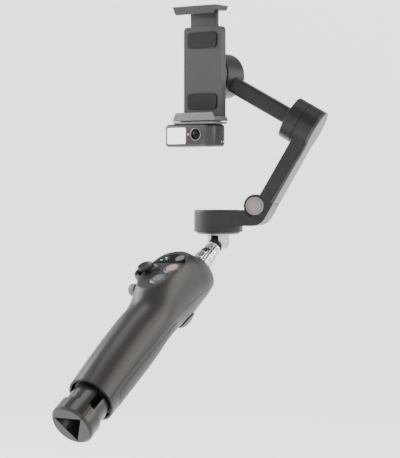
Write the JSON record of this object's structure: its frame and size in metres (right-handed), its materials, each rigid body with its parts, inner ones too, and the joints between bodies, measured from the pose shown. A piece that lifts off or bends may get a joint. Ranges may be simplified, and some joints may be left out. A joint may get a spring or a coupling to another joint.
{
  "type": "phone gimbal",
  "caption": "Folding handheld stabiliser for a phone, with a leaning grip, telescopic rod, motor arms, spring clamp, clip-on camera and lamp, and a fold-out tripod foot.",
  "frame": {"origin": "middle of the grip, on the handle's axis", "axes": "+Z along the pan motor's axis, upwards; the phone's screen faces -Y; +X is the right side seen from the front, where the arms stand. The handle leans 55.6 degrees from +Z towards -Y"},
  "size_m": [0.1064, 0.2295, 0.3101],
  "materials": {
    "grip_plastic": "satin dark grey moulding",
    "pad_plastic": "soft-touch dark grey",
    "arm_paint": "satin dark grey moulding, fibre filled",
    "cover_silver": "satin silver-grey paint",
    "pivot_silver": "turned aluminium",
    "rod_chrome": "polished",
    "fork_metal": "satin cast metal",
    "steel": "plain steel",
    "inner_plastic": "black moulding",
    "motor_core": "laminated steel with copper windings",
    "display_gloss": "gloss black",
    "button_silver": "silver-grey",
    "record_silver": "silver with an orange-red dot",
    "knurl_black": "knurled black",
    "board_green": "circuit board",
    "cell_wrap": "wrapped metal can",
    "jaw_dark": "dark grey",
    "jaw_silver": "satin light grey",
    "pad_rubber": "soft rubber",
    "foot_gloss": "dark grey to black",
    "module_plastic": "dark grey",
    "lamp_diffuser": "milky diffuser",
    "lens_black": "black ring",
    "lens_glass": "coated lens",
    "pilot_orange": "orange pilot light"
  },
  "bodies": {
    "handle": {"rear_shell": "grip_plastic", "front_cover": "grip_plastic", "palm_pad": "pad_plastic", "status_display": "display_gloss", "control_board": "board_green", "joystick_cup": "knurl_black", "trigger_pin": "steel", "rod_tube": "inner_plastic", "battery": "cell_wrap", "battery_cradle": "inner_plastic", "usb_socket": "steel", "tripod_guide": "inner_plastic", "board_screws": "steel"},
    "record": {"record_button": "record_silver"},
    "changeover": {"switch_button": "button_silver"},
    "mode": {"mode_button": "button_silver"},
    "stick_yoke": {"joystick_yoke": "inner_plastic"},
    "stick": {"joystick_cap": "knurl_black"},
    "wheel": {"zoom_wheel": "knurl_black"},
    "trigger_lever": {"trigger": "grip_plastic"},
    "rod_1": {"rod_stage_1": "rod_chrome"},
    "rod_2": {"rod_stage_2": "rod_chrome"},
    "rod_3": {"rod_stage_3": "rod_chrome"},
    "rod_4": {"rod_stage_4": "rod_chrome", "rod_head": "inner_plastic"},
    "pan_base": {"pan_fork": "fork_metal", "pan_ring": "cover_silver", "pan_stator": "motor_core", "hinge_pin": "steel"},
    "lower": {"lower_arm": "arm_paint", "pan_bearing": "steel"},
    "long": {"long_arm": "arm_paint", "long_arm_cover": "cover_silver", "fold_pin": "steel", "fold_caps": "pivot_silver", "tilt_stator": "motor_core", "tilt_shaft": "steel"},
    "second": {"second_arm": "arm_paint", "tilt_bearing": "steel", "roll_bearing": "steel", "roll_stator": "motor_core"},
    "clamp": {"roll_plate": "jaw_dark", "clamp_body": "jaw_dark", "clamp_pads": "pad_rubber", "lower_jaw": "jaw_silver", "module_rail": "jaw_silver", "module_shell": "module_plastic", "lamp_window": "lamp_diffuser", "lens_barrel": "lens_black", "lens_glass": "lens_glass", "pilot_light": "pilot_orange", "clamp_springs": "steel"},
    "jaw": {"upper_jaw": "jaw_dark", "upper_jaw_pad": "pad_rubber"},
    "tripod": {"tripod_hub": "foot_gloss", "thread_insert": "fork_metal", "leg_pins": "steel"},
    "leg_1": {"tripod_leg_1": "foot_gloss"},
    "leg_2": {"tripod_leg_2": "foot_gloss"},
    "leg_3": {"tripod_leg_3": "foot_gloss"}
  },
  "joints": [
    {"name": "rod_slide_1", "type": "slide", "parent": "handle", "child": "rod_1", "axis": [0, 0.8251, 0.565], "range_m": [0, 0.054]},
    {"name": "rod_slide_2", "type": "slide", "parent": "rod_1", "child": "rod_2", "axis": [0, 0.8251, 0.565], "range_m": [0, 0.054]},
    {"name": "rod_slide_3", "type": "slide", "parent": "rod_2", "child": "rod_3", "axis": [0, 0.8251, 0.565], "range_m": [0, 0.054]},
    {"name": "rod_slide_4", "type": "slide", "parent": "rod_3", "child": "rod_4", "axis": [0, 0.8251, 0.565], "range_m": [0, 0.054]},
    {"name": "head_tilt", "type": "hinge", "parent": "rod_4", "child": "pan_base", "pos_m": [0, 0.11139, 0.07627], "axis": [1, 0, 0], "range_deg": [-55.6, 28.4]},
    {"name": "pan", "type": "hinge", "parent": "pan_base", "child": "lower", "pos_m": [0, 0.11139, 0.07627], "axis": [0, 0, 1], "range_deg": [-150, 160]},
    {"name": "arm_fold", "type": "hinge", "parent": "lower", "child": "long", "pos_m": [0.02874, 0.123, 0.10357], "axis": [0.3746, -0.9272, 0], "range_deg": [0, 74]},
    {"name": "tilt", "type": "hinge", "parent": "long", "child": "second", "pos_m": [0.05882, 0.13515, 0.16556], "axis": [-0.803, -0.3244, 0.5], "range_deg": [-100, 79]},
    {"name": "roll", "type": "hinge", "parent": "second", "child": "clamp", "pos_m": [0, 0.11139, 0.20217], "axis": [0, 1, 0], "range_deg": [-120, 212]},
    {"name": "jaw_slide", "type": "slide", "parent": "clamp", "child": "jaw", "axis": [0, 0, 1], "range_m": [-0.0106, 0.0064], "deforming": ["clamp_springs"]},
    {"name": "record_press", "type": "slide", "parent": "handle", "child": "record", "axis": [0, 0.4945, -0.8691], "range_m": [0, 0.0006], "stiffness_N_per_m": 1800, "springref_m": -0.0003},
    {"name": "switch_press", "type": "slide", "parent": "handle", "child": "changeover", "axis": [0, 0.4945, -0.8691], "range_m": [0, 0.0006], "stiffness_N_per_m": 1800, "springref_m": -0.0003},
    {"name": "mode_press", "type": "slide", "parent": "handle", "child": "mode", "axis": [0, 0.4945, -0.8691], "range_m": [0, 0.0006], "stiffness_N_per_m": 1800, "springref_m": -0.0003},
    {"name": "stick_side", "type": "hinge", "parent": "handle", "child": "stick_yoke", "pos_m": [-0.0115, 0.03862, 0.05186], "axis": [1, 0, 0], "range_deg": [-12, 12], "stiffness_Nm_per_rad": 0.03},
    {"name": "stick_up", "type": "hinge", "parent": "stick_yoke", "child": "stick", "pos_m": [-0.0115, 0.03862, 0.05186], "axis": [0, 0.8691, 0.4945], "range_deg": [-12, 12], "stiffness_Nm_per_rad": 0.03},
    {"name": "wheel_turn", "type": "hinge", "parent": "handle", "child": "wheel", "pos_m": [-0.0142, 0.02793, 0.04276], "axis": [1, 0, 0], "continuous": true},
    {"name": "trigger_pull", "type": "hinge", "parent": "handle", "child": "trigger_lever", "pos_m": [0, 0.06237, 0.02574], "axis": [-1, 0, 0], "range_deg": [0, 3.5], "stiffness_Nm_per_rad": 0.08, "springref_deg": -1.15},
    {"name": "tripod_slide", "type": "slide", "parent": "handle", "child": "tripod", "axis": [0, -0.8251, -0.565], "range_m": [-0.0146, 0]},
    {"name": "leg_hinge_1", "type": "hinge", "parent": "tripod", "child": "leg_1", "pos_m": [0.00909, -0.04308, -0.03586], "axis": [0.5, -0.4893, 0.7146], "range_deg": [0, 65]},
    {"name": "leg_hinge_2", "type": "hinge", "parent": "tripod", "child": "leg_2", "pos_m": [-0.00909, -0.04308, -0.03586], "axis": [0.5, 0.4893, -0.7146], "range_deg": [0, 65]},
    {"name": "leg_hinge_3", "type": "hinge", "parent": "tripod", "child": "leg_3", "pos_m": [0, -0.05197, -0.02286], "axis": [-1, 0, 0], "range_deg": [0, 65]}
  ]
}
